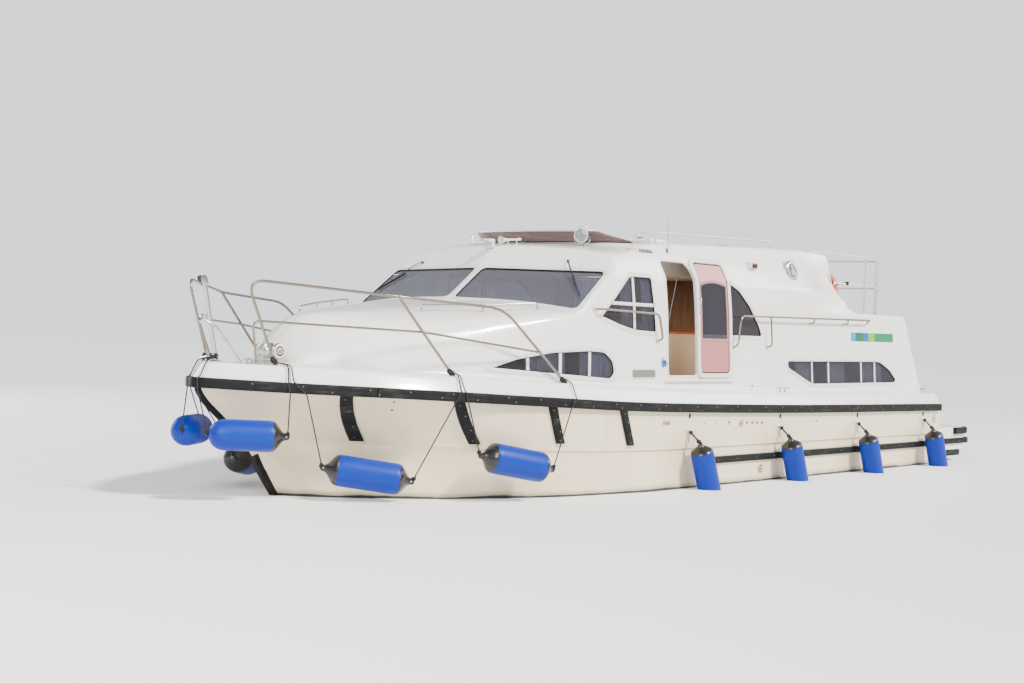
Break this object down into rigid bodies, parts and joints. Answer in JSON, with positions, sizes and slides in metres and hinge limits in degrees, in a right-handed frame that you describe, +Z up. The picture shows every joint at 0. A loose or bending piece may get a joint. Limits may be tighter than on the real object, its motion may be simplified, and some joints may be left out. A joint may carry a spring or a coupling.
{
  "type": "houseboat",
  "caption": "River hire cruiser afloat: moulded hull, cabin with sliding side doors, flybridge, rails and hung fenders, with working helm, rudder and propeller.",
  "frame": {"origin": "amidships on the centre line at the waterline", "axes": "+X forward to the bow, +Y to port, +Z up out of the water"},
  "size_m": [13.3465, 4.5316, 3.8193],
  "materials": {
    "hull_gelcoat": "cream moulded gelcoat, dull with use",
    "gelcoat": "white moulded gelcoat",
    "rubber": "scuffed black rubber",
    "stainless": "polished stainless tube",
    "bronze": "cast bronze",
    "iron": "painted dark",
    "glass": "grey tinted",
    "rose_glass": "rose tinted",
    "fender_blue": "blue inflated skin with black ends",
    "wood": "varnished veneer",
    "fabric": "woven covers",
    "orange": "orange moulded buoy",
    "black": "black moulded rim"
  },
  "bodies": {
    "boat": {"hull": "hull_gelcoat", "keel_band": "iron", "rubbing_strake": "rubber", "lower_strake": "rubber", "swim_platform": "gelcoat", "deck_moulding": "gelcoat", "cabin_moulding": "gelcoat", "flybridge_moulding": "gelcoat", "saloon_sole": "wood", "fore_bulkhead": "wood", "aft_bulkhead": "wood", "engine": "iron", "helm_console": "wood", "fly_console": "gelcoat", "helm_seat": "fabric", "saloon_dinette": "fabric", "galley_unit": "wood", "fly_seat": "fabric", "fly_screen": "rose_glass", "aft_rail": "stainless", "lifebuoy": "orange", "bow_post": "stainless", "windlass": "iron", "searchlight": "stainless", "quarter_window_port": "glass", "lower_window_port": "glass", "aft_quarter_window_port": "glass", "aft_window_port": "glass", "windscreen_port": "glass", "pulpit_port": "stainless", "fore_handrail_port": "stainless", "aft_handrail_port": "stainless", "fly_rail_port": "stainless", "bow_fenders_port": "fender_blue", "side_fender_port_1": "fender_blue", "side_fender_port_2": "fender_blue", "side_fender_port_3": "fender_blue", "side_fender_port_4": "fender_blue", "quarter_window_starboard": "glass", "lower_window_starboard": "glass", "aft_quarter_window_starboard": "glass", "aft_window_starboard": "glass", "windscreen_starboard": "glass", "pulpit_starboard": "stainless", "fore_handrail_starboard": "stainless", "aft_handrail_starboard": "stainless", "fly_rail_starboard": "stainless", "bow_fenders_starboard": "fender_blue", "side_fender_starboard_1": "fender_blue", "side_fender_starboard_2": "fender_blue", "side_fender_starboard_3": "fender_blue", "side_fender_starboard_4": "fender_blue"},
    "rudder": {"rudder": "iron"},
    "helm_wheel": {"helm_wheel": "black"},
    "fly_wheel": {"fly_wheel": "black"},
    "propeller": {"propeller": "bronze", "propeller_shaft": "stainless"},
    "door_port": {"door_port": "rose_glass"},
    "door_starboard": {"door_starboard": "rose_glass"},
    "windlass_drum": {"windlass_drum": "stainless"}
  },
  "joints": [
    {"name": "rudder_turn", "type": "hinge", "parent": "boat", "child": "rudder", "pos_m": [-5.23, 0, -0.3], "axis": [0, 0, 1], "range_deg": [-35, 35]},
    {"name": "helm_wheel_turn", "type": "hinge", "parent": "boat", "child": "helm_wheel", "pos_m": [2.01, 0.82, 1.5], "axis": [0.9397, 0, -0.342], "range_deg": [-540, 540]},
    {"name": "fly_wheel_turn", "type": "hinge", "parent": "boat", "child": "fly_wheel", "pos_m": [0.3, 0.62, 2.74], "axis": [0.9397, 0, -0.342], "range_deg": [-540, 540]},
    {"name": "propeller_spin", "type": "hinge", "parent": "boat", "child": "propeller", "pos_m": [-4.735, 0, -0.54571], "axis": [0.9899, 0, 0.1414], "continuous": true},
    {"name": "door_port_slide", "type": "slide", "parent": "boat", "child": "door_port", "axis": [1, 0, 0], "range_m": [0, 0.6]},
    {"name": "door_starboard_slide", "type": "slide", "parent": "boat", "child": "door_starboard", "axis": [1, 0, 0], "range_m": [-0.6, 0]},
    {"name": "windlass_drum_spin", "type": "hinge", "parent": "boat", "child": "windlass_drum", "pos_m": [5.8, 0.19, 1.448], "axis": [0, 1, 0], "continuous": true}
  ],
  "couplings": [
    {"joint": "helm_wheel_turn", "follows": "rudder_turn", "ratio": 15.42},
    {"joint": "fly_wheel_turn", "follows": "rudder_turn", "ratio": 15.42}
  ]
}
